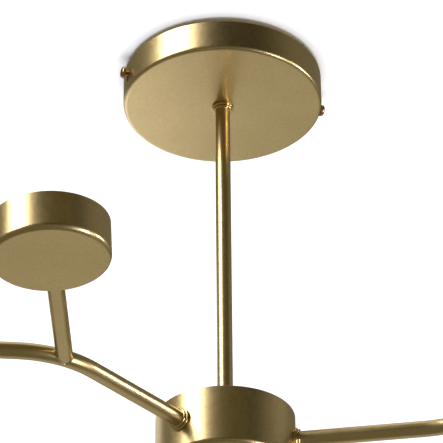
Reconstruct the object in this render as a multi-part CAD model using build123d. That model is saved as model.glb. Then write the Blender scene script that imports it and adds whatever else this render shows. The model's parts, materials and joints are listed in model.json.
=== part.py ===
from build123d import *
import os
from math import cos, radians, sin, sqrt

os.makedirs("parts", exist_ok=True)

# Ceiling chandelier: canopy, down rod, drum hub and three bent arms with two lamp heads each.
# Millimetres, +Z up. The origin is the middle of the ceiling strap's upper face, which lies on
# the ceiling, so that the whole fixture hangs below Z = 0. Arm 1 leaves the hub along +X.

# ---- driving dimensions -------------------------------------------------------------------
SHEET = 2.0                # thickness of the ceiling strap and of the swivel bar
STRAP_LENGTH = 144.0
STRAP_WIDTH = 18.0
STRAP_ANGLE = -19.0        # plan direction of the strap
STRAP_TONGUE_END = 77.9    # narrow tongue at each end, near one corner, just inside the canopy's wall
STRAP_TONGUE_WIDTH = 1.3
STRAP_TONGUE_OFFSET = 7.4
STRAP_HOLE_CIRCLE = 88.9   # ceiling screw holes, on a standard outlet box circle
STRAP_HOLE_R = 2.5
PIVOT_R = 2.5              # bolt that the swivel bar turns on
BAR_ANGLE = 28.0           # plan direction of the swivel bar and the two side screws
BAR_WIDTH = 16.0

CANOPY_R = 80.0
CANOPY_HEIGHT = 26.5
CANOPY_WALL = 1.2
CANOPY_FLOOR = 1.5
CANOPY_EDGE_R = 3.2
SCREW_DROP = 10.6          # side screws below the canopy's rim
SLOT_TRAVEL = 6.0          # length of the straight part of the canopy's slots
SCREW_R = 2.0
SCREW_HEAD_R = 4.7
SCREW_HEAD_HEIGHT = 2.9
SCREW_LENGTH = 14.0
LEFT_SCREW_GAP = 2.7       # how far each side screw stands backed out of the canopy
RIGHT_SCREW_GAP = 4.6

TUBE_R = 6.0               # one tube size for the rod, the arms and the branches
TUBE_WALL = 1.0
ROD_LENGTH = 285.5
HUB_R = 52.25
HUB_HEIGHT = 46.0
HUB_WALL = 1.5
HUB_FLOOR = 2.0
HUB_EDGE_R = 3.6
LID_THICK = 2.0
LID_RECESS = 0.5
LEDGE = 2.0                # width and depth of the ring that a lid or a board rests on

ARM_COUNT = 3
ARM_DROP = 21.8            # arm axis below the hub's top edge
ARM_STRAIGHT = 148.0       # hub axis to the start of the bend
ARM_BEND_R = 76.0
ARM_TURN = 45.0
ARM_OUTER_RUN = 228.0      # end of the bend to the middle of the outer head
BRANCH_START = 18.8        # where on the bend the branch leaves, in degrees of the bend
BRANCH_TURN = 38.6         # branch direction, from the arm's radial direction
BRANCH_RUN = 150.5         # arm axis to the middle of the inner head

HEAD_R = 40.0
HEAD_HEIGHT = 28.0
HEAD_WALL = 1.5
HEAD_FLOOR = 2.0
HEAD_EDGE_R = 3.9
HEAD_TURNS = (0.0, 0.0, 2.5)   # how far each inner head stands turned on its branch
BOSS_R = 8.2
BOSS_DEPTH = 10.0
BOARD_Z = 8.5              # underside of the LED board, above the head's middle
BOARD_THICK = 1.6
DIFFUSER_RECESS = 0.8
DIFFUSER_THICK = 1.7
LED_COUNT = 12
LED_CIRCLE_R = 25.0
LED_SIZE = (3.5, 2.8, 0.8)

THREAD_R = 4.95            # hollow M10 threaded nipples
THREAD_BORE_R = 3.5
NUT_FLATS = 14.0
NUT_THICK = 3.0
WASHER_R = 9.0
WASHER_THICK = 1.0
RUNNING = 0.05             # radial clearance of a part that turns or slides in another
GAP = 0.3                  # clearance between moving parts that aren't a fit
WIRE_R = 1.5
CABLE_R = 2.6
EARTH_SCREW_X = 30.0       # earth screw and terminal block, along the swivel bar
BLOCK_X = 32.0
BLOCK_SIZE = (30.0, 14.0, 12.0)
LID_SCREW_CIRCLE_R = 43.0
LID_SCREW_R = 1.45
POST_R = 3.5
POST_BORE_R = 1.5
DRIVER_SIZE = (58.0, 32.0, 18.0)
COLLAR_LENGTH = 4.2        # double-ring collar: its two rings and the neck between them
COLLAR_SPLIT = 2.2
COLLAR_LARGE_R = 8.8
COLLAR_SMALL_R = 7.7
COLLAR_NECK_R = 7.1
COLLAR_ROUND_R = 0.85

# ---- places worked out from them ------------------------------------------------------------
RIM_Z = -2 * SHEET
CANOPY_Z = RIM_Z - CANOPY_HEIGHT
FLOOR_Z = CANOPY_Z + CANOPY_FLOOR
SCREW_Z = RIM_Z - SCREW_DROP
HUB_TOP = CANOPY_Z - ROD_LENGTH
LID_TOP = HUB_TOP - LID_RECESS
HUB_BOTTOM = HUB_TOP - HUB_HEIGHT
ARM_Z = HUB_TOP - ARM_DROP
HUB_IN_R = HUB_R - HUB_WALL
HEAD_IN_R = HEAD_R - HEAD_WALL
LID_BOTTOM = LID_TOP - LID_THICK
BOSS_END = HEAD_R - BOSS_DEPTH    # inner face of the boss that a head turns on
ARM_STEP = 360 / ARM_COUNT        # angle from one arm to the next
POST_TURN = ARM_STEP / 2          # the lid's posts stand half-way between the arms

# ---- helpers -----------------------------------------------------------------------------------
def save(name, *solids):
    """Write one node, as one solid or a group of separate ones."""
    shape = solids[0] if len(solids) == 1 else Compound(children=list(solids))
    export_step(shape, f"parts/{name}.step")


def drum(radius, height, wall, floor, edge):
    """A round pan, open at the top, with its underside at Z = 0."""
    outer = Cylinder(radius, height, align=(Align.CENTER, Align.CENTER, Align.MIN))
    outer = fillet(outer.edges().group_by(Axis.Z)[0], edge)
    hollow = Pos(0, 0, floor) * Cylinder(radius - wall, height, align=(Align.CENTER, Align.CENTER, Align.MIN))
    return outer - hollow


def disc(radius, thick, bore=0.0):
    """A flat disc or washer that stands on Z = 0."""
    plate = Cylinder(radius, thick, align=(Align.CENTER, Align.CENTER, Align.MIN))
    if bore:
        plate -= Cylinder(bore, 3 * thick)
    return plate


def ring(outer, inner, low, high):
    """A plain ring between two heights."""
    return Pos(0, 0, low) * disc(outer, high - low, inner)


def tube(radius, bore, start, end):
    """A straight tube along +X between two distances."""
    length = end - start
    body = Cylinder(radius, length) - Cylinder(bore, 2 * length)
    return Pos((start + end) / 2, 0, 0) * Rot(0, 90, 0) * body


def rod_x(radius, start, end):
    """A solid round bar along +X."""
    return Pos((start + end) / 2, 0, 0) * Rot(0, 90, 0) * Cylinder(radius, end - start)


def locknut(bore):
    """A hexagon nut that stands on Z = 0, with its corners rounded off."""
    nut = extrude(RegularPolygon(NUT_FLATS / 2, 6, major_radius=False), NUT_THICK)
    blank = disc(NUT_FLATS / 2 * 1.12, NUT_THICK)
    blank = chamfer(blank.edges(), 0.5)
    return (nut & blank) - Cylinder(bore, 4 * NUT_THICK)


def nipple(length):
    """A hollow threaded nipple along Z, from Z = 0 down, with chamfered ends."""
    body = disc(THREAD_R, length)
    body = chamfer(body.edges(), 0.5)
    return Pos(0, 0, -length) * (body - Cylinder(THREAD_BORE_R, 3 * length))


def double_ring(bore):
    """A turned collar of two rounded rings, from Z = 0 down, the larger one at Z = 0."""
    large = Pos(0, 0, -COLLAR_SPLIT) * disc(COLLAR_LARGE_R, COLLAR_SPLIT)
    large = fillet(large.edges(), COLLAR_ROUND_R)
    small = Pos(0, 0, -COLLAR_LENGTH) * disc(COLLAR_SMALL_R, COLLAR_LENGTH - COLLAR_SPLIT)
    small = fillet(small.edges(), COLLAR_ROUND_R)
    neck = Pos(0, 0, -COLLAR_LENGTH + 0.5) * disc(COLLAR_NECK_R, COLLAR_LENGTH - 0.5)
    return large + small + neck - Cylinder(bore, 3 * COLLAR_LENGTH)


def pan_screw(head_r, head_height, shank_r, length):
    """A cross-recessed pan-head screw: the head stands on Z = 0 and the shank goes down."""
    head = disc(head_r, head_height)
    head = fillet(head.edges().group_by(Axis.Z)[-1], head_height * 0.55)
    shank = Pos(0, 0, -length) * disc(shank_r, length)
    shank = chamfer(shank.edges().group_by(Axis.Z)[0], 0.3 * shank_r)
    screw = head + shank
    slot = Pos(0, 0, head_height) * Box(1.1 * head_r, 0.28 * head_r, 1.1 * head_height)
    return screw - slot - Rot(0, 0, 90) * slot


# ---- ceiling strap, swivel bar and side screws ---------------------------------------------------
def ceiling_strap():
    """Flat bar against the ceiling, with two screw holes, a threaded pivot hole and two tongues."""
    bar = Pos(0, 0, -SHEET / 2) * Box(STRAP_LENGTH, STRAP_WIDTH, SHEET)
    bar = fillet(bar.edges().filter_by(Axis.Z), 1.0)
    tongue = Box(STRAP_TONGUE_WIDTH, STRAP_TONGUE_END / 2, SHEET)
    tongue = Pos(0.75 * STRAP_TONGUE_END, -STRAP_TONGUE_OFFSET, -SHEET / 2) * Rot(0, 0, 90) * tongue
    for side in (0, 180):
        bar += Rot(0, 0, side) * tongue
        bar -= Rot(0, 0, side) * Pos(STRAP_HOLE_CIRCLE / 2, 0, 0) * Cylinder(STRAP_HOLE_R, 6 * SHEET)
    bar -= Cylinder(PIVOT_R, 6 * SHEET)
    return Rot(0, 0, STRAP_ANGLE) * bar


def swivel_bar():
    """Bar that turns under the strap, with a bent lug at each end for a side screw."""
    lug_face = CANOPY_R - CANOPY_WALL - 2.8
    lug_height = SCREW_DROP + 8.0
    top = RIM_Z + SHEET
    bar = Pos(0, 0, top - SHEET / 2) * Box(2 * lug_face, BAR_WIDTH, SHEET)
    for side in (-1, 1):
        lug = Box(SHEET, BAR_WIDTH, lug_height, align=(Align.CENTER, Align.CENTER, Align.MAX))
        bar += Pos(side * (lug_face - SHEET / 2), 0, top) * lug
    bar = fillet(bar.edges().filter_by(Axis.Y).group_by(Axis.Z)[-1], SHEET * 0.9)
    bar = fillet(bar.edges().filter_by(Axis.X).group_by(Axis.Z)[0], 4.0)
    bar -= Pos(0, 0, SCREW_Z) * rod_x(SCREW_R + RUNNING, -CANOPY_R, CANOPY_R)
    bar -= Cylinder(PIVOT_R + RUNNING, 8 * SHEET)
    bar -= Pos(-EARTH_SCREW_X, 0, 0) * Cylinder(1.5, 8 * SHEET)
    return Rot(0, 0, BAR_ANGLE) * bar


def pivot_bolt():
    """Bolt that is threaded into the strap, with its head under the swivel bar."""
    bolt = pan_screw(5.5, 3.0, PIVOT_R, 2 * SHEET - 0.2)
    return Pos(0, 0, RIM_Z - RUNNING) * Rot(180, 0, 0) * bolt


def side_screw(side, gap):
    """Side screw that clamps the canopy to a lug. It points inwards along the bar."""
    screw = pan_screw(SCREW_HEAD_R, SCREW_HEAD_HEIGHT, SCREW_R, SCREW_LENGTH)
    screw = Pos(CANOPY_R + gap, 0, SCREW_Z) * Rot(0, 90, 0) * screw
    turn = BAR_ANGLE if side > 0 else BAR_ANGLE + 180
    return Rot(0, 0, turn) * screw


def earth_screw():
    """Earth screw in the swivel bar, with a square clamp washer under its head."""
    clamp = Pos(0, 0, -0.8) * Box(8.0, 8.0, 1.6)
    screw = Rot(180, 0, 0) * pan_screw(3.4, 2.4, 1.45, SHEET - 0.1)
    part = Pos(0, 0, -1.6) * screw + clamp + disc(1.45, SHEET - 0.1)
    return Rot(0, 0, BAR_ANGLE) * Pos(-EARTH_SCREW_X, 0, RIM_Z) * part


def terminal_block():
    """Three-pole terminal block under the swivel bar."""
    length, width, height = BLOCK_SIZE
    block = Box(length, width, height)
    block = fillet(block.edges().filter_by(Axis.Z), 1.0)
    for pole in (-1, 0, 1):
        block -= Pos(pole * 9.0, 0, -2.0) * Rot(90, 0, 0) * Cylinder(2.0, 2 * width)
        for row in (-1, 1):
            block -= Pos(pole * 9.0, row * 4.0, -height / 2) * Cylinder(1.6, 4.0)
    for notch in (-0.5, 0.5):
        block -= Pos(notch * 9.0, 0, -height / 2) * Box(1.2, 2 * width, 4.0)
    return Rot(0, 0, BAR_ANGLE) * Pos(BLOCK_X, 0, RIM_Z - height / 2) * block


# ---- canopy and down rod -------------------------------------------------------------------------
def canopy():
    """Shallow pan, with two vertical slots in its wall for the side screws."""
    pan = drum(CANOPY_R, CANOPY_HEIGHT, CANOPY_WALL, CANOPY_FLOOR, CANOPY_EDGE_R)
    pan = Pos(0, 0, CANOPY_Z) * pan
    pan -= Pos(0, 0, CANOPY_Z) * Cylinder(THREAD_R + RUNNING, 8 * CANOPY_FLOOR)
    half_width = SCREW_R + 0.15
    slot = rod_x(half_width, CANOPY_R - 6, CANOPY_R + 6)
    slot += Pos(0, 0, -SLOT_TRAVEL) * slot
    slot += Pos(CANOPY_R, 0, -SLOT_TRAVEL / 2) * Box(12, 2 * half_width, SLOT_TRAVEL)
    for side in (0, 180):
        pan -= Rot(0, 0, BAR_ANGLE + side) * Pos(0, 0, SCREW_Z) * slot
    return pan


def down_rod():
    """Straight tube from the canopy's underside to the hub's lid."""
    return ring(TUBE_R, TUBE_R - TUBE_WALL, LID_TOP, CANOPY_Z)


def supply_cable():
    """Flexible lead inside the rod, from the canopy to the hub."""
    bottom = LID_TOP - 18.0
    top = FLOOR_Z + 6.0
    return Pos(0, 0, bottom) * disc(CABLE_R, top - bottom)


# ---- hub -------------------------------------------------------------------------------------------
def hub_cup():
    """Closed drum with a ledge for the lid, three threaded posts and three arm holes."""
    cup = drum(HUB_R, HUB_HEIGHT, HUB_WALL, HUB_FLOOR, HUB_EDGE_R)
    cup = Pos(0, 0, HUB_BOTTOM) * cup
    cup += ring(HUB_R - HUB_WALL / 2, HUB_IN_R - LEDGE, LID_BOTTOM - LEDGE, LID_BOTTOM)
    post_base = HUB_BOTTOM + HUB_FLOOR
    for turn in range(ARM_COUNT):
        post = Pos(LID_SCREW_CIRCLE_R, 0, post_base - 0.2) * disc(POST_R, LID_BOTTOM - post_base + 0.2)
        post -= Pos(LID_SCREW_CIRCLE_R, 0, LID_BOTTOM) * Cylinder(POST_BORE_R, 20.0)
        cup += Rot(0, 0, POST_TURN + ARM_STEP * turn) * post
        bore = Pos(0, 0, ARM_Z) * rod_x(THREAD_R + RUNNING, HUB_IN_R - 4, HUB_R + 4)
        cup -= Rot(0, 0, ARM_STEP * turn) * bore
    return cup


def hub_lid():
    """Flat lid, let into the hub's rim, with a hole for the rod's nipple."""
    lid = disc(HUB_IN_R - 0.1, LID_THICK)
    lid = chamfer(lid.edges().group_by(Axis.Z)[-1], 0.4)
    lid -= Cylinder(THREAD_R + RUNNING, 8 * LID_THICK)
    for turn in range(ARM_COUNT):
        hole = Pos(LID_SCREW_CIRCLE_R, 0, 0) * Cylinder(LID_SCREW_R + 0.25, 8 * LID_THICK)
        lid -= Rot(0, 0, POST_TURN + ARM_STEP * turn) * hole
    return Pos(0, 0, LID_BOTTOM) * lid


def lid_screws():
    """Three small pan-head screws that hold the lid to the hub's posts."""
    screws = []
    for turn in range(ARM_COUNT):
        screw = Pos(LID_SCREW_CIRCLE_R, 0, LID_TOP) * pan_screw(2.8, 1.8, LID_SCREW_R, 8.0)
        screws.append(Rot(0, 0, POST_TURN + ARM_STEP * turn) * screw)
    return screws


def led_driver():
    """Potted LED driver on the hub's floor."""
    length, width, height = DRIVER_SIZE
    case = Box(length, width, height, align=(Align.CENTER, Align.CENTER, Align.MIN))
    case = fillet(case.edges().filter_by(Axis.Z), 3.0)
    case = fillet(case.edges().group_by(Axis.Z)[-1], 1.0)
    for end in (-1, 1):
        case -= Pos(end * (length / 2 - 1), 0, height - 4) * Box(4, width * 0.55, 10)
    return Pos(0, 0, HUB_BOTTOM + HUB_FLOOR) * case


# ---- arms ------------------------------------------------------------------------------------------
def arm_path(start, trim):
    """Centre line of an arm along +X from a start distance, ending short of the head's middle."""
    bend_start = (ARM_STRAIGHT, 0)
    turn = radians(ARM_TURN)
    bend_end = (ARM_STRAIGHT + ARM_BEND_R * sin(turn), -ARM_BEND_R * (1 - cos(turn)))
    middle = turn / 2
    half_way = (ARM_STRAIGHT + ARM_BEND_R * sin(middle), -ARM_BEND_R * (1 - cos(middle)))
    run = ARM_OUTER_RUN - trim
    tip = (bend_end[0] + run * cos(turn), bend_end[1] - run * sin(turn))
    first = Line((start, 0), bend_start)
    bend = ThreePointArc(bend_start, half_way, bend_end)
    last = Line(bend_end, tip)
    return Wire([first, bend, last])


def swept(outer, bore, start, trim):
    """A round tube or wire along the arm's centre line."""
    profile = Circle(outer)
    if bore:
        profile -= Circle(bore)
    return sweep(Plane(origin=(start, 0, 0), z_dir=(1, 0, 0)) * profile, path=arm_path(start, trim))


def branch_joint():
    """Point on the arm's centre line where the branch starts, in the arm's own frame."""
    angle = radians(BRANCH_START)
    return (ARM_STRAIGHT + ARM_BEND_R * sin(angle), -ARM_BEND_R * (1 - cos(angle)))


def inner_head_place():
    """Frame of the inner head: its middle, with +X along the branch."""
    x, y = branch_joint()
    heading = radians(BRANCH_TURN)
    return Pos(x + BRANCH_RUN * cos(heading), y + BRANCH_RUN * sin(heading), 0) * Rot(0, 0, BRANCH_TURN)


def outer_head_place():
    """Frame of the outer head: its middle, with +X along the end of the arm."""
    turn = radians(ARM_TURN)
    x = ARM_STRAIGHT + ARM_BEND_R * sin(turn) + ARM_OUTER_RUN * cos(turn)
    y = -ARM_BEND_R * (1 - cos(turn)) - ARM_OUTER_RUN * sin(turn)
    return Pos(x, y, 0) * Rot(0, 0, -ARM_TURN)


def arm_tube():
    """Bent tube, with a hole for the branch's wire."""
    body = swept(TUBE_R, TUBE_R - TUBE_WALL, HUB_R + 0.4, BOSS_END - GAP)
    x, y = branch_joint()
    hole = rod_x(THREAD_BORE_R, 2.0, 2 * TUBE_R)
    return body - Pos(x, y, 0) * Rot(0, 0, BRANCH_TURN) * hole


def branch_tube():
    """Straight tube, cut to sit on the side of the arm's bend."""
    x, y = branch_joint()
    body = tube(TUBE_R, TUBE_R - TUBE_WALL, 0, BRANCH_RUN - BOSS_END + GAP)
    body = Pos(x, y, 0) * Rot(0, 0, BRANCH_TURN) * body
    saddle = swept(TUBE_R, 0, ARM_STRAIGHT - 40, ARM_OUTER_RUN - 40)
    return (body - saddle).solids().sort_by(SortBy.VOLUME)[-1]


def arm_wires():
    """Two leads of an arm: one along it to the outer head, one through the branch."""
    main = swept(WIRE_R, 0, HUB_R - 12, BOSS_END - 6)
    x, y = branch_joint()
    branch = Pos(x, y, 0) * Rot(0, 0, BRANCH_TURN) * rod_x(WIRE_R, 2 * WIRE_R, BRANCH_RUN - BOSS_END + 6)
    return [main, branch]


def arm_collar():
    """Double-ring collar of an arm, cut to the hub's round wall."""
    collar = Pos(HUB_R, 0, 0) * Rot(0, 90, 0) * Rot(180, 0, 0) * double_ring(TUBE_R)
    foot = tube(8.0, TUBE_R, HUB_R - 1.2, HUB_R + 1.0)
    return (collar + foot) - Cylinder(HUB_R, 40.0)


def arm_fasteners():
    """Nipple, washer and locknut that hold one arm in the hub's wall."""
    seat = sqrt(HUB_IN_R ** 2 - WASHER_R ** 2)
    thread = Pos(HUB_R + 18, 0, 0) * Rot(0, 90, 0) * nipple(28.0)
    washer = Pos(seat - WASHER_THICK, 0, 0) * Rot(0, 90, 0) * disc(WASHER_R, WASHER_THICK, THREAD_R + RUNNING)
    nut = Pos(seat - WASHER_THICK - NUT_THICK, 0, 0) * Rot(0, 90, 0) * locknut(THREAD_R)
    return thread, washer, nut


# ---- lamp heads --------------------------------------------------------------------------------------
def head_cup():
    """Lamp cup with a boss that turns on the tube and a ledge for the LED board."""
    cup = Pos(0, 0, -HEAD_HEIGHT / 2) * drum(HEAD_R, HEAD_HEIGHT, HEAD_WALL, HEAD_FLOOR, HEAD_EDGE_R)
    cup += ring(HEAD_R - HEAD_WALL / 2, HEAD_IN_R - LEDGE, BOARD_Z - LEDGE, BOARD_Z)
    cup += rod_x(BOSS_R, -HEAD_R + HEAD_WALL / 2, -BOSS_END)
    cup -= rod_x(TUBE_R + RUNNING, -HEAD_R - 4, -BOSS_END + 4)
    return cup


def led_board():
    """Aluminium LED board with a circle of chips, one in the middle and a wire hole."""
    board = disc(HEAD_IN_R - GAP, BOARD_THICK)
    board -= Pos(-14, 0, 0) * Cylinder(3.0, 10)
    chip = Pos(0, 0, BOARD_THICK + 0.3) * Box(*LED_SIZE)
    board += chip
    for turn in range(LED_COUNT):
        board += Rot(0, 0, 360 / LED_COUNT * (turn + 0.5)) * Pos(LED_CIRCLE_R, 0, 0) * chip
    return Pos(0, 0, BOARD_Z) * board


def diffuser():
    """Opal cap that closes the top of the cup and stands on the LED board."""
    top = HEAD_HEIGHT / 2 - DIFFUSER_RECESS
    base = BOARD_Z + BOARD_THICK
    cap = Pos(0, 0, base) * disc(HEAD_IN_R - GAP, top - base)
    cap = fillet(cap.edges().group_by(Axis.Z)[-1], 0.8)
    return cap - Pos(0, 0, base - 1) * disc(HEAD_IN_R - 2.2, top - base + 1 - DIFFUSER_THICK)


def head_fasteners():
    """Nipple and locknut on the end of the tube, inside the cup."""
    thread = Pos(-BOSS_END + GAP + 8, 0, 0) * Rot(0, 90, 0) * nipple(26.0)
    nut = Pos(-BOSS_END + GAP, 0, 0) * Rot(0, 90, 0) * locknut(THREAD_R)
    return thread, nut


# ---- write every node --------------------------------------------------------------------------------
save("ceiling_strap", ceiling_strap())
save("pivot_bolt", pivot_bolt())
save("swivel_bar", swivel_bar())
save("earth_screw", earth_screw())
save("terminal_block", terminal_block())
save("side_screw_left", side_screw(-1, LEFT_SCREW_GAP))
save("side_screw_right", side_screw(1, RIGHT_SCREW_GAP))

save("canopy", canopy())
save("canopy_collar", Pos(0, 0, CANOPY_Z) * double_ring(TUBE_R))
save("canopy_nipple", Pos(0, 0, FLOOR_Z + 7) * nipple(34.0))
save("canopy_washer", Pos(0, 0, FLOOR_Z) * disc(WASHER_R, WASHER_THICK, THREAD_R + RUNNING))
save("canopy_locknut", Pos(0, 0, FLOOR_Z + WASHER_THICK) * locknut(THREAD_R))
save("down_rod", down_rod())
save("supply_cable", supply_cable())

save("hub_collar", Pos(0, 0, LID_TOP) * Rot(180, 0, 0) * double_ring(TUBE_R))
save("hub_nipple", Pos(0, 0, LID_TOP + 20) * nipple(30.0))
save("hub_washer", Pos(0, 0, LID_BOTTOM - WASHER_THICK) * disc(WASHER_R, WASHER_THICK, THREAD_R + RUNNING))
save("hub_locknut", Pos(0, 0, LID_BOTTOM - WASHER_THICK - NUT_THICK) * locknut(THREAD_R))
save("hub_cup", hub_cup())
save("hub_lid", hub_lid())
save("lid_screws", *lid_screws())
save("led_driver", led_driver())

nipples, washers, nuts, head_nipples, head_nuts = [], [], [], [], []
for number in range(1, ARM_COUNT + 1):
    place = Pos(0, 0, ARM_Z) * Rot(0, 0, ARM_STEP * (number - 1))
    inner_turned = HEAD_TURNS[number - 1]
    save(f"arm_tube_{number}", place * arm_tube())
    save(f"branch_tube_{number}", place * branch_tube())
    save(f"arm_collar_{number}", place * arm_collar())
    save(f"arm_wires_{number}", *[place * wire for wire in arm_wires()])
    thread, washer, nut = arm_fasteners()
    nipples.append(place * thread)
    washers.append(place * washer)
    nuts.append(place * nut)
    head_spots = (("inner", inner_head_place(), inner_turned), ("outer", outer_head_place(), 0.0))
    for kind, spot, turned in head_spots:
        head = place * spot * Rot(turned, 0, 0)
        save(f"{kind}_head_cup_{number}", head * head_cup())
        save(f"{kind}_led_board_{number}", head * led_board())
        save(f"{kind}_diffuser_{number}", head * diffuser())
        thread, nut = head_fasteners()
        head_nipples.append(place * spot * thread)
        head_nuts.append(place * spot * nut)

save("arm_nipples", *nipples)
save("arm_washers", *washers)
save("arm_locknuts", *nuts)
save("head_nipples", *head_nipples)
save("head_locknuts", *head_nuts)
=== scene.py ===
import json
import math

import bmesh
import bpy
from mathutils import Matrix, Vector

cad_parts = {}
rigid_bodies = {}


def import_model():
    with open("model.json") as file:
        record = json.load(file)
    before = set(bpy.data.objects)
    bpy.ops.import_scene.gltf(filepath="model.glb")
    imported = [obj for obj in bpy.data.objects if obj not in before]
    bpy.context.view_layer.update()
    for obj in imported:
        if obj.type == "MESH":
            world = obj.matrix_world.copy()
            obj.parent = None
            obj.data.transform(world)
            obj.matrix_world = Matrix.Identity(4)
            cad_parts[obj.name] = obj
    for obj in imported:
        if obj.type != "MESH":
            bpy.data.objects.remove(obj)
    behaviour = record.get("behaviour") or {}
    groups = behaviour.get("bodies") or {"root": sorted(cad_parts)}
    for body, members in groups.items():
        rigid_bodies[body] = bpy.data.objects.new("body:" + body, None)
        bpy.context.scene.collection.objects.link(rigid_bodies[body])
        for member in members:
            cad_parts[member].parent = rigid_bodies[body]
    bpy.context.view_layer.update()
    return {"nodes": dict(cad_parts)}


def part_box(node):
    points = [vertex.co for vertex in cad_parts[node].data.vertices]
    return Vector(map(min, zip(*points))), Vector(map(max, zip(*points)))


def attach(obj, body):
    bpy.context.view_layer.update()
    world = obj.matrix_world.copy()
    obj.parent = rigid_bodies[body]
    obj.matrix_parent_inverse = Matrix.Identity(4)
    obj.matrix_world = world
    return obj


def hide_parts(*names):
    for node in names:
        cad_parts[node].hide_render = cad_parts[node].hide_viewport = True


# Looks of the ceiling chandelier. Metres, in the CAD's own frame: the ceiling is at Z = 0, the
# rod runs down the Z axis and arm 1 leaves the hub along +X.
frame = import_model()
nodes = frame["nodes"]

# ---- driving dimensions ---------------------------------------------------------------------
CANOPY_WALL = 0.0012
CANOPY_FLOOR = 0.0015
CANOPY_EDGE = 0.0032
SCREW_HEADING = 28.0        # plan direction of the right side screw; the left one is opposite
SCREW_Z = -0.0146
SLOT_TRAVEL = 0.006
SLOT_HALF_WIDTH = 0.00215
SIDE_SCREW_GAPS = {"right": 0.0046, "left": 0.0027}
SCREW_R = 0.002
SCREW_HEAD_R = 0.0047
SCREW_HEAD_HEIGHT = 0.0029
SCREW_HEAD_ROUNDING = 0.62  # rounding of its crown, in parts of its height
SCREW_LENGTH = 0.014
THREAD_PITCH = 0.0007
THREAD_DEPTH = 0.00022
THREAD_ROWS = 8             # rings of the mesh in each turn of the thread
RECESS_REACH = 0.55         # half length of the cross recess, in parts of the head's radius
RECESS_HALF_WIDTH = 0.12    # its half width, in the same parts
RECESS_RISE = 0.0006        # height of the cutting bars' axes above the head's crown

TUBE_WALL = 0.001
HUB_WALL = 0.0015
HUB_FLOOR = 0.002
HUB_EDGE = 0.0036
LID_THICK = 0.002
LID_RECESS = 0.0005
LID_SCREW_CIRCLE_R = 0.043
LID_SCREW_BORE_R = 0.0017
LID_SCREW_TURN = 60.0       # turn of each lid screw from the arm beside it
LID_CLEARANCE = 0.0001
POST_R = 0.0035
POST_BORE_R = 0.0015
LEDGE = 0.002
THREAD_BORE_R = 0.005       # holes for the hollow threaded nipples

ARM_COUNT = 3
ARM_STRAIGHT = 0.148
ARM_BEND_R = 0.076
ARM_TURN = 45.0
BRANCH_START = 18.8
BRANCH_TURN = 38.6
SADDLE_REACH = 18           # degrees of the bend on each side of the branch that cut its foot
BEAD_R = 0.0006
BEAD_ROUNDING = 0.3         # how far the braze rounds the two tips of the seam
ARM_GAP = 0.0004            # between the hub's wall and the arm tube

HEAD_HALF_HEIGHT = 0.014
HEAD_WALL = 0.0015
HEAD_FLOOR = 0.002
HEAD_EDGE = 0.0039
HEAD_TURNS = (0.0, 0.0, 2.5)    # how far each inner head stands turned on its tube at rest
BOSS_R = 0.0082
BOSS_DEPTH = 0.010
BOARD_Z = 0.0085
BOARD_THICK = 0.0016
DIFFUSER_RECESS = 0.0008
DIFFUSER_THICK = 0.0017
DIFFUSER_CROWN = 0.0004
DIFFUSER_WALL = 0.0019
DIFFUSER_EDGE = 0.0007
DIFFUSER_FLAT = 0.9         # radius where the crown starts, in parts of the diffuser's radius
TUBE_CLEARANCE = 0.00005
GAP = 0.0003

CRISP = 0.00022             # rounding of the crisp edges
SHARP_ANGLE = 32            # degrees past which an edge is shaded sharp
CORNER_STEPS = 8
ROUND_STEPS = 12
DRUM_SIDES = 224
TUBE_SIDES = 72
SMALL_SIDES = 56
HUB_RUN_STEPS = 12
BEND_STEPS = 30
OUTER_RUN_STEPS = 24
BRANCH_STEPS = 16
SADDLE_STEP = 2             # degrees
SEAM_STEPS = 96
BEAD_SIDES = 10
CROWN_RINGS = 10


def middle(node):
    """Middle of a CAD node's box."""
    low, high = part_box(node)
    return (low + high) / 2


def reach(node):
    """Largest distance of a CAD node from the Z axis."""
    return max(math.hypot(v.co.x, v.co.y) for v in nodes[node].data.vertices)


CANOPY_R = reach("canopy")
CANOPY_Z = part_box("canopy")[0].z
RIM_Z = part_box("canopy")[1].z
TUBE_R = reach("down_rod")
HUB_R = reach("hub_cup")
HUB_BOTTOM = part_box("hub_cup")[0].z
HUB_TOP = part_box("hub_cup")[1].z
ARM_Z = middle("arm_tube_1").z
HEAD_R = (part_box("outer_head_cup_1")[1].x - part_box("outer_head_cup_1")[0].x) / 2


# ---- mesh helpers ---------------------------------------------------------------------------
def rounded(*corners):
    """Closed outline of (radius, height) points, from corners that each give their own rounding."""
    outline = []
    for index, (across, up, rounding) in enumerate(corners):
        here = Vector((across, up))
        if rounding == 0:
            outline.append(here)
            continue
        into = (Vector(corners[index - 1][:2]) - here).normalized()
        out = (Vector(corners[(index + 1) % len(corners)][:2]) - here).normalized()
        half = into.angle(out) / 2
        centre = here + (into + out).normalized() * (rounding / math.sin(half))
        spoke = here + into * (rounding / math.tan(half)) - centre
        turn = math.copysign(math.pi - 2 * half, -into.cross(out))
        steps = ROUND_STEPS if rounding > 3 * CRISP else CORNER_STEPS
        for step in range(steps + 1):
            outline.append(centre + Matrix.Rotation(turn * step / steps, 2) @ spoke)
    return outline


def place_mesh(name, bm):
    """Turn a bmesh into an object of that name, with its faces turned outwards."""
    bmesh.ops.recalc_face_normals(bm, faces=bm.faces)
    mesh = bpy.data.meshes.new(name)
    bm.to_mesh(mesh)
    bm.free()
    piece = bpy.data.objects.new(name, mesh)
    bpy.context.scene.collection.objects.link(piece)
    return piece


def ring_faces(bm, rings, closed=True):
    """Join rings of vertices, each to the next one and, when closed, the last one to the first."""
    for index in range(len(rings) if closed else len(rings) - 1):
        ring, other = rings[index], rings[(index + 1) % len(rings)]
        for side in range(len(ring)):
            after = (side + 1) % len(ring)
            corners = dict.fromkeys((ring[side], ring[after], other[after], other[side]))
            if len(corners) > 2:
                bm.faces.new(corners)


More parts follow.
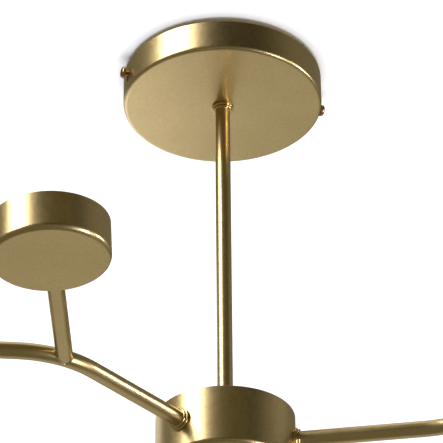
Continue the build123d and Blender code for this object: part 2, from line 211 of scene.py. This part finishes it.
def lathe(name, outline, sides=DRUM_SIDES):
    """A closed outline of (radius, height) points turned about Z."""
    bm = bmesh.new()
    rings = []
    for across, up in outline:
        if across < CRISP / 100:
            rings.append([bm.verts.new((0, 0, up))] * sides)
            continue
        turns = [2 * math.pi * side / sides for side in range(sides)]
        rings.append([bm.verts.new((across * math.cos(t), across * math.sin(t), up)) for t in turns])
    ring_faces(bm, rings)
    return place_mesh(name, bm)


def pipe(name, line, radius, bore=0.0, sides=TUBE_SIDES):
    """A round tube, or a bar when it has no bore, along a level line of points."""
    bm = bmesh.new()
    tangents = []
    for index in range(len(line)):
        before, after = line[max(index - 1, 0)], line[min(index + 1, len(line) - 1)]
        tangents.append((after - before).normalized())

    def rings(size):
        made = []
        for point, tangent in zip(line, tangents):
            sideways = tangent.cross(Vector((0, 0, 1)))
            ring = []
            for side in range(sides):
                turn = 2 * math.pi * side / sides
                offset = sideways * math.cos(turn) + Vector((0, 0, math.sin(turn)))
                ring.append(bm.verts.new(point + offset * size))
            made.append(ring)
        return made

    outer = rings(radius)
    if bore:
        ring_faces(bm, outer + rings(bore)[::-1])
    else:
        ring_faces(bm, outer, closed=False)
        bm.faces.new(outer[0])
        bm.faces.new(outer[-1])
    return place_mesh(name, bm)


def bar(radius, start, end, sides=SMALL_SIDES):
    """A round bar along +X, to cut or to join with another piece."""
    return pipe("tool", [Vector((start, 0, 0)), Vector((end, 0, 0))], radius, sides=sides)


def moved(piece, place):
    """Move a piece's mesh, so that its object stays at the origin."""
    piece.data.transform(place)
    return piece


def combine(piece, operation, *tools):
    """Cut tools away from a piece, or join them to it, for good."""
    for tool in tools:
        step = piece.modifiers.new(operation, "BOOLEAN")
        step.operation = operation
        step.object = tool
        step.solver = "EXACT"
    graph = bpy.context.evaluated_depsgraph_get()
    mesh = bpy.data.meshes.new_from_object(piece.evaluated_get(graph))
    mesh.name = piece.name
    piece.modifiers.clear()
    piece.data = mesh
    for tool in tools:
        bpy.data.objects.remove(tool)


def copy_of(piece, name, place):
    """A copy of a piece with its own mesh, moved into place."""
    twin = bpy.data.objects.new(name, piece.data.copy())
    bpy.context.scene.collection.objects.link(twin)
    return moved(twin, place)


def fit(piece, finish, body, *replaced):
    """Finish a piece, let it ride on its body and let it stand for its CAD nodes."""
    piece.data.materials.clear()
    piece.data.materials.append(finishes[finish])
    piece.data.shade_smooth()
    piece.data.set_sharp_from_angle(angle=math.radians(SHARP_ANGLE))
    normals = piece.modifiers.new("even_normals", "WEIGHTED_NORMAL")
    normals.keep_sharp = True
    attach(piece, body)
    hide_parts(*replaced)


def turned(degrees, axis="Z"):
    return Matrix.Rotation(math.radians(degrees), 4, axis)


def shifted(x, y, z):
    return Matrix.Translation((x, y, z))


# ---- materials ------------------------------------------------------------------------------
NOISE_LOW, NOISE_HIGH = 0.3, 0.7        # usual range of a noise value
TONE_LOW, TONE_HIGH = 0.36, 0.64        # the same, narrower, so that both tones show
METAL_CLOUDS = 0.045                    # sizes of the slow changes of tone
COAT_CLOUDS = 0.02
BACKDROP_CLOUDS = 0.4
GLOSS_SPOTS = 2.5                       # size of the uneven gloss, in grains


def material(name, metallic=0.0, **constants):
    """A new node material and its Principled shader, with constants on the shader's own sockets."""
    made = bpy.data.materials.new(name)
    made.use_nodes = True
    shader = made.node_tree.nodes["Principled BSDF"]
    shader.inputs["Metallic"].default_value = metallic
    for socket, value in constants.items():
        shader.inputs[socket.replace("_", " ")].default_value = value
    return made, shader


def noise(tree, size, detail=3.0, roughness=0.55):
    """Noise on the piece's own coordinates, with features of about that size in metres."""
    where = tree.nodes.new("ShaderNodeTexCoord")
    scale = tree.nodes.new("ShaderNodeMapping")
    scale.inputs["Scale"].default_value = [1 / size] * 3
    texture = tree.nodes.new("ShaderNodeTexNoise")
    texture.inputs["Scale"].default_value = 1.0
    texture.inputs["Detail"].default_value = detail
    texture.inputs["Roughness"].default_value = roughness
    tree.links.new(where.outputs["Object"], scale.inputs["Vector"])
    tree.links.new(scale.outputs["Vector"], texture.inputs["Vector"])
    return texture.outputs["Fac"]


def spread(tree, value, low, high):
    """Map a noise value from its usual range to low..high."""
    span = tree.nodes.new("ShaderNodeMapRange")
    span.inputs["From Min"].default_value = NOISE_LOW
    span.inputs["From Max"].default_value = NOISE_HIGH
    span.inputs["To Min"].default_value = low
    span.inputs["To Max"].default_value = high
    tree.links.new(value, span.inputs["Value"])
    return span.outputs["Result"]


def blend_colours(tree, value, first, second):
    """Colour between two tones, by a noise value."""
    ramp = tree.nodes.new("ShaderNodeValToRGB")
    ramp.color_ramp.elements[0].position = TONE_LOW
    ramp.color_ramp.elements[0].color = (*first, 1)
    ramp.color_ramp.elements[1].position = TONE_HIGH
    ramp.color_ramp.elements[1].color = (*second, 1)
    tree.links.new(value, ramp.inputs["Fac"])
    return ramp.outputs["Color"]


def multiply(tree, first, second):
    """Product of two colours."""
    mix = tree.nodes.new("ShaderNodeMix")
    mix.data_type = "RGBA"
    mix.blend_type = "MULTIPLY"
    mix.inputs[0].default_value = 1.0
    tree.links.new(first, mix.inputs[6])
    tree.links.new(second, mix.inputs[7])
    return mix.outputs[2]


def roughen(tree, shader, value, depth):
    """Bump from a noise value, that deep in metres."""
    bump = tree.nodes.new("ShaderNodeBump")
    bump.inputs["Strength"].default_value = 1.0
    bump.inputs["Distance"].default_value = depth
    tree.links.new(value, bump.inputs["Height"])
    tree.links.new(bump.outputs["Normal"], shader.inputs["Normal"])


def metal(name, tones, gloss, grain, depth, flecks):
    """A metal with a fine grain, slow changes of tone and uneven gloss."""
    made, shader = material(name, metallic=1.0)
    tree = made.node_tree
    slow = noise(tree, METAL_CLOUDS, detail=2.0)
    fine = noise(tree, grain, detail=4.0, roughness=0.7)
    base = blend_colours(tree, slow, *tones)
    fleck = blend_colours(tree, fine, (1 - 2 * flecks,) * 3, (1,) * 3)
    tree.links.new(multiply(tree, base, fleck), shader.inputs["Base Color"])
    tree.links.new(spread(tree, noise(tree, GLOSS_SPOTS * grain), *gloss), shader.inputs["Roughness"])
    roughen(tree, shader, fine, depth)
    return made


def coated(name, tones, gloss, grain, depth, **constants):
    """A moulded, coated or opal surface with a light texture."""
    made, shader = material(name, **constants)
    tree = made.node_tree
    fine = noise(tree, grain)
    tree.links.new(blend_colours(tree, noise(tree, COAT_CLOUDS), *tones), shader.inputs["Base Color"])
    tree.links.new(spread(tree, fine, *gloss), shader.inputs["Roughness"])
    roughen(tree, shader, fine, depth)
    return made


# two tones of each finish
BRASS = ((0.66, 0.50, 0.235), (0.70, 0.53, 0.255))
BRIGHT_BRASS = ((0.74, 0.56, 0.26), (0.80, 0.61, 0.29))
BRONZE = ((0.50, 0.30, 0.14), (0.62, 0.38, 0.19))
ZINC = ((0.36, 0.37, 0.38), (0.48, 0.49, 0.50))
OPAL = ((0.90, 0.88, 0.82), (0.94, 0.92, 0.86))
WHITE_COAT = ((0.78, 0.79, 0.78), (0.84, 0.85, 0.84))
WHITE_PLASTIC = ((0.76, 0.76, 0.73), (0.82, 0.82, 0.79))
PALE_SHEATH = ((0.66, 0.66, 0.63), (0.74, 0.74, 0.71))

finishes = {
    "satin_brass": metal("satin_brass", BRASS, (0.29, 0.34), 0.0015, 0.00003, 0.07),
    "polished_brass": metal("polished_brass", BRIGHT_BRASS, (0.10, 0.15), 0.0008, 0.000004, 0.01),
    "bronze_screws": metal("bronze_screws", BRONZE, (0.24, 0.34), 0.0006, 0.000012, 0.06),
    "zinc_steel": metal("zinc_steel", ZINC, (0.42, 0.55), 0.0022, 0.000008, 0.05),
    "opal_diffuser": coated("opal_diffuser", OPAL, (0.32, 0.42), 0.0012, 0.000006, Subsurface_Weight=0.25),
    "led_aluminium": coated("led_aluminium", WHITE_COAT, (0.35, 0.5), 0.0010, 0.000006),
    "white_plastic": coated("white_plastic", WHITE_PLASTIC, (0.38, 0.5), 0.0006, 0.000015),
    "wire_sheath": coated("wire_sheath", PALE_SHEATH, (0.5, 0.62), 0.0008, 0.00001),
}


# ---- canopy and side screws ---------------------------------------------------------------------
def canopy_pan():
    """Round pan that is open at the top, with a rounded lower edge, crisp rims and a centre hole."""
    inside = CANOPY_R - CANOPY_WALL
    floor = CANOPY_Z + CANOPY_FLOOR
    return lathe("canopy_pan", rounded(
        (THREAD_BORE_R, CANOPY_Z, 0), (CANOPY_R, CANOPY_Z, CANOPY_EDGE), (CANOPY_R, RIM_Z, CRISP),
        (inside, RIM_Z, CRISP), (inside, floor, CANOPY_EDGE - CANOPY_WALL), (THREAD_BORE_R, floor, 0),
    ))


def build_canopy():
    """Canopy pan with its two upright slots."""
    canopy = canopy_pan()
    start, end = CANOPY_R - 4 * CANOPY_WALL, CANOPY_R + 4 * CANOPY_WALL
    slots = []
    for heading in (SCREW_HEADING, SCREW_HEADING + 180):
        hole = bar(SLOT_HALF_WIDTH, start, end)
        for vertex in hole.data.vertices:
            if vertex.co.z < 0:
                vertex.co.z -= SLOT_TRAVEL
        slots.append(moved(hole, turned(heading) @ shifted(0, 0, SCREW_Z)))
    combine(canopy, "DIFFERENCE", *slots)
    fit(canopy, "satin_brass", "fixture", "canopy")


def threaded(length, radius):
    """A threaded shank that hangs down from Z = 0, with a single helix round it."""
    bm = bmesh.new()
    rows = int(length / THREAD_PITCH * THREAD_ROWS)
    rings = []
    for row in range(rows + 1):
        down = length * row / rows
        fade = min(1.0, 2 * (length - down) / THREAD_PITCH, 2 * down / THREAD_PITCH)
        ring = []
        for side in range(SMALL_SIDES):
            turn = 2 * math.pi * side / SMALL_SIDES
            phase = (down / THREAD_PITCH + side / SMALL_SIDES) % 1.0
            size = radius - THREAD_DEPTH + THREAD_DEPTH * fade * (1 - abs(2 * phase - 1))
            ring.append(bm.verts.new((size * math.cos(turn), size * math.sin(turn), -down)))
        rings.append(ring)
    ring_faces(bm, rings, closed=False)
    bm.faces.new(rings[0])
    bm.faces.new(rings[-1])
    return place_mesh("shank", bm)


def build_side_screw(side):
    """Pan-head side screw with a cross recess and a real thread."""
    height = SCREW_HEAD_HEIGHT
    crown = height * SCREW_HEAD_ROUNDING
    outline = rounded((0, 0, 0), (SCREW_HEAD_R, 0, CRISP), (SCREW_HEAD_R, height, crown), (0, height, 0))
    head = lathe(f"screw_{side}", outline, SMALL_SIDES)
    recess = []
    for turn in (0, 90):
        half_width = SCREW_HEAD_R * RECESS_HALF_WIDTH
        wing = bar(SCREW_HEAD_R * RECESS_REACH, -half_width, half_width)
        recess.append(moved(wing, shifted(0, 0, height + RECESS_RISE) @ turned(turn)))
    combine(head, "DIFFERENCE", *recess)
    combine(head, "UNION", moved(threaded(SCREW_LENGTH, SCREW_R), shifted(0, 0, CRISP)))
    heading = SCREW_HEADING if side == "right" else SCREW_HEADING + 180
    out = CANOPY_R + SIDE_SCREW_GAPS[side]
    moved(head, turned(heading) @ shifted(out, 0, SCREW_Z) @ turned(90, "Y"))
    fit(head, "bronze_screws", f"{side}_screw", f"side_screw_{side}")


# ---- rod and hub ------------------------------------------------------------------------------
def build_rod():
    """Down rod, from the canopy's underside to the hub's lid."""
    low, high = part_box("down_rod")
    bore = TUBE_R - TUBE_WALL
    rod = lathe("rod", [(TUBE_R, low.z), (TUBE_R, high.z), (bore, high.z), (bore, low.z)], TUBE_SIDES)
    fit(rod, "satin_brass", "fixture", "down_rod")


def build_hub():
    """Hub drum with a ledge for the lid, threaded posts and arm holes, and the lid itself."""
    inside = HUB_R - HUB_WALL
    lid_top = HUB_TOP - LID_RECESS
    seat = lid_top - LID_THICK
    floor = HUB_BOTTOM + HUB_FLOOR
    hub = lathe("hub_drum", rounded(
        (0, HUB_BOTTOM, 0), (HUB_R, HUB_BOTTOM, HUB_EDGE), (HUB_R, HUB_TOP, 2 * CRISP),
        (inside, HUB_TOP, CRISP), (inside, seat, 0), (inside - LEDGE, seat, 0),
        (inside - LEDGE, seat - LEDGE, 0), (inside, seat - LEDGE, 0),
        (inside, floor, HUB_EDGE - HUB_WALL), (0, floor, 0),
    ))
    posts, holes = [], []
    for arm in range(ARM_COUNT):
        heading = 360 / ARM_COUNT * arm
        foot = floor - CRISP
        outline = [(POST_BORE_R, foot), (POST_R, foot), (POST_R, seat), (POST_BORE_R, seat)]
        post = lathe("tool", outline, SMALL_SIDES)
        posts.append(moved(post, turned(heading + LID_SCREW_TURN) @ shifted(LID_SCREW_CIRCLE_R, 0, 0)))
        hole = bar(THREAD_BORE_R, inside - HUB_WALL, HUB_R + HUB_WALL)
        holes.append(moved(hole, turned(heading) @ shifted(0, 0, ARM_Z)))
    combine(hub, "UNION", *posts)
    combine(hub, "DIFFERENCE", *holes)
    fit(hub, "satin_brass", "fixture", "hub_cup")

    edge = inside - LID_CLEARANCE
    lid = lathe("hub_cover", rounded(
        (THREAD_BORE_R, seat, 0), (edge, seat, 0), (edge, lid_top, 2 * CRISP), (THREAD_BORE_R, lid_top, 0),
    ))
    bores = []
    for arm in range(ARM_COUNT):
        bore = moved(bar(LID_SCREW_BORE_R, -LID_THICK, LID_THICK), turned(90, "Y"))
        heading = 360 / ARM_COUNT * arm + LID_SCREW_TURN
        place = turned(heading) @ shifted(LID_SCREW_CIRCLE_R, 0, seat + LID_THICK / 2)
        bores.append(moved(bore, place))
    combine(lid, "DIFFERENCE", *bores)
    fit(lid, "satin_brass", "fixture", "hub_lid")


# ---- arms -----------------------------------------------------------------------------------
def arc(degrees):
    """Point on the arm's bend, in the arm's own frame, that many degrees into it."""
    turn = math.radians(degrees)
    return Vector((ARM_STRAIGHT + ARM_BEND_R * math.sin(turn), -ARM_BEND_R * (1 - math.cos(turn)), 0))


def towards(degrees):
    """Level direction in the arm's own frame."""
    return Vector((math.cos(math.radians(degrees)), math.sin(math.radians(degrees)), 0))


def straight(start, end, steps):
    """Evenly spaced points from start to just before end."""
    return [start.lerp(end, step / steps) for step in range(steps)]


def arm_place(arm):
    """Where the arm's own frame stands: hub axis, arm height, +X outwards."""
    return turned(360 / ARM_COUNT * arm) @ shifted(0, 0, ARM_Z)


def tube_end(arm, kind, start):
    """Distance from a start point in the arm's frame to where that head's tube ends."""
    head = arm_place(arm).inverted() @ middle(f"{kind}_head_cup_{arm + 1}")
    return (Vector((head.x, head.y, 0)) - start).length - (HEAD_R - BOSS_DEPTH) + GAP


def branch_bead():
    """Small bead of braze round the foot of a branch, where two equal tubes meet."""
    bm = bmesh.new()
    foot = arc(BRANCH_START)
    along = towards(BRANCH_TURN)
    across = towards(BRANCH_TURN + 90)
    crossing = math.radians(BRANCH_TURN + BRANCH_START)
    seam = []
    for step in range(SEAM_STEPS):
        turn = 2 * math.pi * step / SEAM_STEPS
        side = math.cos(turn)
        reach_out = math.hypot(side, BEAD_ROUNDING) - side * math.cos(crossing)
        distance = TUBE_R * reach_out / math.sin(crossing)
        rise = Vector((0, 0, TUBE_R * math.sin(turn)))
        seam.append(foot + along * distance + across * TUBE_R * side + rise)
    rings = []
    for step, point in enumerate(seam):
        ahead = (seam[(step + 1) % SEAM_STEPS] - seam[step - 1]).normalized()
        out = (point - foot - along * (point - foot).dot(along)).normalized()
        up = ahead.cross(out).normalized()
        out = up.cross(ahead)
        ring = []
        for side in range(BEAD_SIDES):
            turn = 2 * math.pi * side / BEAD_SIDES
            ring.append(bm.verts.new(point + (out * math.cos(turn) + up * math.sin(turn)) * BEAD_R))
        rings.append(ring)
    ring_faces(bm, rings)
    return place_mesh("bead", bm)


def build_arm(arm):
    """Bent arm tube, branch tube and the braze between them."""
    number = arm + 1
    place = arm_place(arm)
    bore = TUBE_R - TUBE_WALL
    bend_end = arc(ARM_TURN)
    tip = bend_end + towards(-ARM_TURN) * tube_end(arm, "outer", bend_end)
    line = straight(Vector((HUB_R + ARM_GAP, 0, 0)), arc(0), HUB_RUN_STEPS)
    line += [arc(ARM_TURN * step / BEND_STEPS) for step in range(BEND_STEPS)]
    line += straight(bend_end, tip, OUTER_RUN_STEPS) + [tip]
    tube = moved(pipe(f"arm_{number}", line, TUBE_R, bore), place)
    fit(tube, "satin_brass", "fixture", f"arm_tube_{number}")

    foot = arc(BRANCH_START)
    end = foot + towards(BRANCH_TURN) * tube_end(arm, "inner", foot)
    branch = pipe(f"branch_{number}", straight(foot, end, BRANCH_STEPS) + [end], TUBE_R, bore)
    spread_round = range(-SADDLE_REACH, SADDLE_REACH + 1, SADDLE_STEP)
    saddle = [arc(BRANCH_START + degrees) for degrees in spread_round]
    combine(branch, "DIFFERENCE", pipe("tool", saddle, TUBE_R))
    bm = bmesh.new()
    bm.from_mesh(branch.data)
    loose = [v for v in bm.verts if (v.co - foot).dot(towards(BRANCH_TURN)) < -CRISP]
    bmesh.ops.delete(bm, geom=loose, context="VERTS")
    bm.to_mesh(branch.data)
    bm.free()
    fit(moved(branch, place), "satin_brass", "fixture", f"branch_tube_{number}")

    bead = moved(branch_bead(), place)
    bead.name = f"braze_{number}"
    fit(bead, "satin_brass", "fixture")


# ---- lamp heads -----------------------------------------------------------------------------
def head_cup():
    """Lamp cup about its own middle, with a ledge for the board and a boss round the tube."""
    inside = HEAD_R - HEAD_WALL
    low, high = -HEAD_HALF_HEIGHT, HEAD_HALF_HEIGHT
    floor = low + HEAD_FLOOR
    cup = lathe("cup", rounded(
        (0, low, 0), (HEAD_R, low, HEAD_EDGE), (HEAD_R, high, 1.4 * CRISP), (inside, high, CRISP),
        (inside, BOARD_Z, 0), (inside - LEDGE, BOARD_Z, 0), (inside - LEDGE, BOARD_Z - LEDGE, 0),
        (inside, BOARD_Z - LEDGE, 0), (inside, floor, HEAD_EDGE - HEAD_WALL), (0, floor, 0),
    ))
    boss = bar(BOSS_R, -HEAD_R + HEAD_WALL / 2, -HEAD_R + BOSS_DEPTH, TUBE_SIDES)
    combine(cup, "UNION", boss)
    bore = bar(TUBE_R + TUBE_CLEARANCE, -HEAD_R - BOSS_DEPTH, -HEAD_R + 2 * BOSS_DEPTH, TUBE_SIDES)
    combine(cup, "DIFFERENCE", bore)
    return cup


def opal_cap():
    """Opal diffuser about the head's middle: a shallow cap with a slight crown."""
    edge = HEAD_R - HEAD_WALL - GAP
    top = HEAD_HALF_HEIGHT - DIFFUSER_RECESS
    base = BOARD_Z + BOARD_THICK
    shoulder = top - DIFFUSER_CROWN
    flat = edge * DIFFUSER_FLAT
    crown = []
    for ring in range(CROWN_RINGS + 1):
        out = 1 - ring / CROWN_RINGS
        crown.append((flat * out, top - DIFFUSER_CROWN * out ** 2))
    skirt = rounded((edge, base, 0), (edge, shoulder, DIFFUSER_EDGE), (flat, shoulder, 0))[:-1]
    inner = edge - DIFFUSER_WALL
    under = [(0, top - DIFFUSER_THICK), (inner, top - DIFFUSER_THICK), (inner, base)]
    return lathe("cap", [tuple(point) for point in skirt] + crown + under)


def build_heads():
    """Six lamp heads: every inner one on its branch, every outer one on the end of its arm."""
    cup, cap = head_cup(), opal_cap()
    for arm in range(ARM_COUNT):
        for kind, heading in (("inner", BRANCH_TURN), ("outer", -ARM_TURN)):
            name = f"{kind}_head_{arm + 1}"
            tilt = HEAD_TURNS[arm] if kind == "inner" else 0.0
            centre = middle(f"{kind}_head_cup_{arm + 1}")
            outward = turned(360 / ARM_COUNT * arm + heading)
            place = shifted(centre.x, centre.y, ARM_Z) @ outward @ turned(tilt, "X")
            shell = copy_of(cup, f"{kind}_lamp_cup_{arm + 1}", place)
            fit(shell, "satin_brass", name, f"{kind}_head_cup_{arm + 1}")
            cover = copy_of(cap, f"{kind}_lamp_cover_{arm + 1}", place)
            fit(cover, "opal_diffuser", name, f"{kind}_diffuser_{arm + 1}")
    for pattern in (cup, cap):
        bpy.data.objects.remove(pattern)


def finish_frame_nodes():
    """Give every CAD node the finish that its slot is named after."""
    for node in nodes.values():
        for index, old in enumerate(node.data.materials):
            node.data.materials[index] = finishes[old.name]


# ---- camera, light and stage --------------------------------------------------------------------
CAMERA_AZIMUTH = 9.0
CAMERA_PITCH = 32.903
CAMERA_ROLL = 0.484
CAMERA_DISTANCE = 1.98595
CAMERA_LENS = 205.94
CAMERA_AIM = Vector((-0.0016, -0.00025, -0.1401))

FLOOR_Z = -2.2
FLOOR_HALF = 12.0
CEILING_Z = 0.0004          # just clear of the strap's upper face
CEILING_HALF = 6.0
CEILING_PIECES = ("canopy_pan", "screw_right", "screw_left")
WHITE = (1, 1, 1)
ROOM_TONE = (0.165, 0.157, 0.115, 1)
DARK_TONE = (0.024, 0.021, 0.008, 1)


def room_direction(right, away, up):
    """Direction given as seen by the camera's heading: to its right, away from it, and up."""
    heading = math.radians(CAMERA_AZIMUTH)
    x = right * math.cos(heading) - away * math.sin(heading)
    y = right * math.sin(heading) + away * math.cos(heading)
    return Vector((x, y, up)).normalized()


def build_camera():
    """Camera below the fixture, looking up at the rod."""
    pitch = math.radians(CAMERA_PITCH)
    ahead = room_direction(0, math.cos(pitch), math.sin(pitch))
    level = room_direction(1, 0, 0)
    rise = level.cross(ahead)
    roll = math.radians(CAMERA_ROLL)
    right = level * math.cos(roll) - rise * math.sin(roll)
    up = rise * math.cos(roll) + level * math.sin(roll)
    data = bpy.data.cameras.new("camera")
    data.lens = CAMERA_LENS
    data.clip_end = 60.0
    camera = bpy.data.objects.new("camera", data)
    place = Matrix((right, up, -ahead)).transposed().to_4x4()
    place.translation = CAMERA_AIM - ahead * CAMERA_DISTANCE
    camera.matrix_world = place
    bpy.context.scene.collection.objects.link(camera)
    bpy.context.scene.camera = camera


def softbox(name, direction, distance, size, radiance, tint=WHITE, target=Vector((0, 0, -0.15))):
    """A rectangular light that faces the fixture from a direction."""
    data = bpy.data.lights.new(name, "AREA")
    data.shape = "RECTANGLE"
    data.size, data.size_y = size
    data.energy = math.pi * size[0] * size[1] * radiance
    data.color = tint
    light = bpy.data.objects.new(name, data)
    light.location = target + direction * distance
    light.rotation_mode = "QUATERNION"
    light.rotation_quaternion = (-direction).to_track_quat("-Z", "Y")
    light.visible_camera = False
    bpy.context.scene.collection.objects.link(light)


def build_lights():
    """Studio softboxes round the fixture. Each is given a distance, a size and a radiance."""
    below = room_direction(0.0, 0.84, -0.545)
    left_of_canopy = room_direction(-1, 0, 0) * 0.75 + room_direction(0, 1, 0) * 0.16 + Vector((0, 0, 0.17))
    hub = Vector((0, 0, -0.34))
    cool_white = (0.97, 1.0, 1.12)
    softbox("key", room_direction(-0.787, -0.571, 0.62), 2.6, (1.28, 2.2), 7.2, (1.0, 1.0, 1.03))
    softbox("low_panel", below, 2.8, (4.2, 3.4), 0.315)
    softbox("near_panel", below, 1.3, (1.3, 0.9), 1.25, (0.95, 1.0, 1.2), target=left_of_canopy)
    softbox("strip", room_direction(0.78, -0.41, -0.48), 2.2, (0.3, 1.2), 14.0, cool_white)
    softbox("side", room_direction(1.0, 0.03, -0.05), 2.2, (0.5, 0.75), 12.5, cool_white)
    softbox("front_fill", room_direction(0.15, -0.84, 0.53), 2.4, (2.2, 1.6), 0.075, (1.0, 0.88, 0.42))
    softbox("top", Vector((0, 0, 1)), 2.4, (2.0, 2.0), 0.8)
    softbox("back_left", room_direction(-0.48, 0.69, 0.545), 0.7, (0.45, 0.25), 0.85, target=hub)


def group_of(name, pieces):
    """A collection that lights are linked to."""
    group = bpy.data.collections.new(name)
    for piece in pieces:
        group.objects.link(piece)
    return group


def link_lights(floor, ceiling):
    """Keep the softboxes off the backdrops, and some of them off the canopy or the ceiling strap.

    The near panel lights the canopy alone.
    """
    things = list(bpy.context.scene.objects)
    pieces = [thing for thing in things if thing.type == "MESH" and thing not in (floor, ceiling)]
    canopy = bpy.data.objects["canopy_pan"]
    fixture = group_of("fixture_pieces", pieces)
    shown = group_of("all_but_the_strap", [piece for piece in pieces if piece != nodes["ceiling_strap"]])
    hanging = group_of("all_but_the_canopy", [piece for piece in pieces if piece != canopy])
    receivers = {"key": shown, "back_left": shown, "front_fill": hanging}
    receivers["near_panel"] = group_of("canopy_alone", [canopy])
    for light in things:
        if light.type == "LIGHT":
            light.light_linking.receiver_collection = receivers.get(light.name, fixture)


def sun(name, direction, width, power, receiver, shading=None):
    """An even light from a direction, that many degrees wide, for one backdrop alone."""
    data = bpy.data.lights.new(name, "SUN")
    data.energy = power
    data.angle = math.radians(width)
    light = bpy.data.objects.new(name, data)
    light.rotation_mode = "QUATERNION"
    light.rotation_quaternion = (-direction).to_track_quat("-Z", "Y")
    light.light_linking.receiver_collection = group_of(f"{name}_receiver", [receiver])
    if shading:
        light.light_linking.blocker_collection = shading
    bpy.context.scene.collection.objects.link(light)


def light_backdrops(floor, ceiling):
    """Even lights of the backdrops alone. Only the canopy and its screws shade the ceiling."""
    shading = group_of("shades_the_ceiling", [bpy.data.objects[name] for name in CEILING_PIECES])
    sun("floor_light", Vector((0, 0, 1)), 35, 3.0, floor)
    sun("ceiling_glow", room_direction(0.0, 0.03, -1), 52, 3.2, ceiling, shading)
    sun("ceiling_fill", Vector((0, 0, -1)), 140, 0.7, ceiling, shading)


def one_sided(name, tone, mottling):
    """A plain matt backdrop that is seen from its front only."""
    made, shader = material(name)
    tree = made.node_tree
    shader.inputs["Roughness"].default_value = 0.9
    shader.inputs["Specular IOR Level"].default_value = 0.0
    low = tuple(part * (1 - mottling) for part in tone)
    tree.links.new(blend_colours(tree, noise(tree, BACKDROP_CLOUDS), low, tone), shader.inputs["Base Color"])
    geometry = tree.nodes.new("ShaderNodeNewGeometry")
    clear = tree.nodes.new("ShaderNodeBsdfTransparent")
    mix = tree.nodes.new("ShaderNodeMixShader")
    output = tree.nodes["Material Output"]
    tree.links.new(geometry.outputs["Backfacing"], mix.inputs["Fac"])
    tree.links.new(shader.outputs["BSDF"], mix.inputs[1])
    tree.links.new(clear.outputs["BSDF"], mix.inputs[2])
    tree.links.new(mix.outputs["Shader"], output.inputs["Surface"])
    return made


def backdrop(name, height, half, facing, finish):
    """A large level plane that faces up or down and takes no part in reflections."""
    bm = bmesh.new()
    corners = []
    for x, y in ((-half, -half), (half, -half), (half, half), (-half, half)):
        corners.append(bm.verts.new((x, y, height)))
    bm.faces.new(corners if facing > 0 else corners[::-1])
    mesh = bpy.data.meshes.new(name)
    bm.to_mesh(mesh)
    bm.free()
    plane = bpy.data.objects.new(name, mesh)
    mesh.materials.append(finish)
    plane.visible_glossy = False
    plane.visible_diffuse = False
    plane.visible_shadow = False
    bpy.context.scene.collection.objects.link(plane)
    return plane


def build_world():
    """White behind the fixture, and in its reflections a dim room that is darkest near the camera."""
    world = bpy.data.worlds.new("room")
    world.use_nodes = True
    bpy.context.scene.world = world
    tree = world.node_tree
    room = tree.nodes["Background"]
    where = tree.nodes.new("ShaderNodeTexCoord")
    facing = tree.nodes.new("ShaderNodeVectorMath")
    facing.operation = "DOT_PRODUCT"
    facing.inputs[1].default_value = room_direction(0.2, -0.84, 0.55)
    near = tree.nodes.new("ShaderNodeMapRange")
    near.inputs["From Min"].default_value = 0.55
    near.inputs["From Max"].default_value = 0.95
    tone = tree.nodes.new("ShaderNodeMix")
    tone.data_type = "RGBA"
    tone.inputs[6].default_value = ROOM_TONE
    tone.inputs[7].default_value = DARK_TONE
    tree.links.new(where.outputs["Generated"], facing.inputs[0])
    tree.links.new(facing.outputs["Value"], near.inputs["Value"])
    tree.links.new(near.outputs["Result"], tone.inputs[0])
    tree.links.new(tone.outputs[2], room.inputs["Color"])
    white = tree.nodes.new("ShaderNodeBackground")
    white.inputs["Color"].default_value = (*WHITE, 1)
    rays = tree.nodes.new("ShaderNodeLightPath")
    mix = tree.nodes.new("ShaderNodeMixShader")
    tree.links.new(rays.outputs["Is Camera Ray"], mix.inputs["Fac"])
    tree.links.new(room.outputs["Background"], mix.inputs[1])
    tree.links.new(white.outputs["Background"], mix.inputs[2])
    tree.links.new(mix.outputs["Shader"], tree.nodes["World Output"].inputs["Surface"])
    bpy.context.scene.view_settings.view_transform = "Standard"


build_camera()
build_canopy()
for screw_side in SIDE_SCREW_GAPS:
    build_side_screw(screw_side)
build_rod()
build_hub()
for arm_index in range(ARM_COUNT):
    build_arm(arm_index)
build_heads()
finish_frame_nodes()
build_world()
build_lights()
floor_paint = one_sided("floor_paint", (0.9, 0.9, 0.88), 0.03)
ceiling_paint = one_sided("ceiling_paint", (0.88, 0.9, 0.98), 0.01)
floor_plane = backdrop("floor", FLOOR_Z, FLOOR_HALF, 1, floor_paint)
ceiling_plane = backdrop("ceiling", CEILING_Z, CEILING_HALF, -1, ceiling_paint)
link_lights(floor_plane, ceiling_plane)
light_backdrops(floor_plane, ceiling_plane)
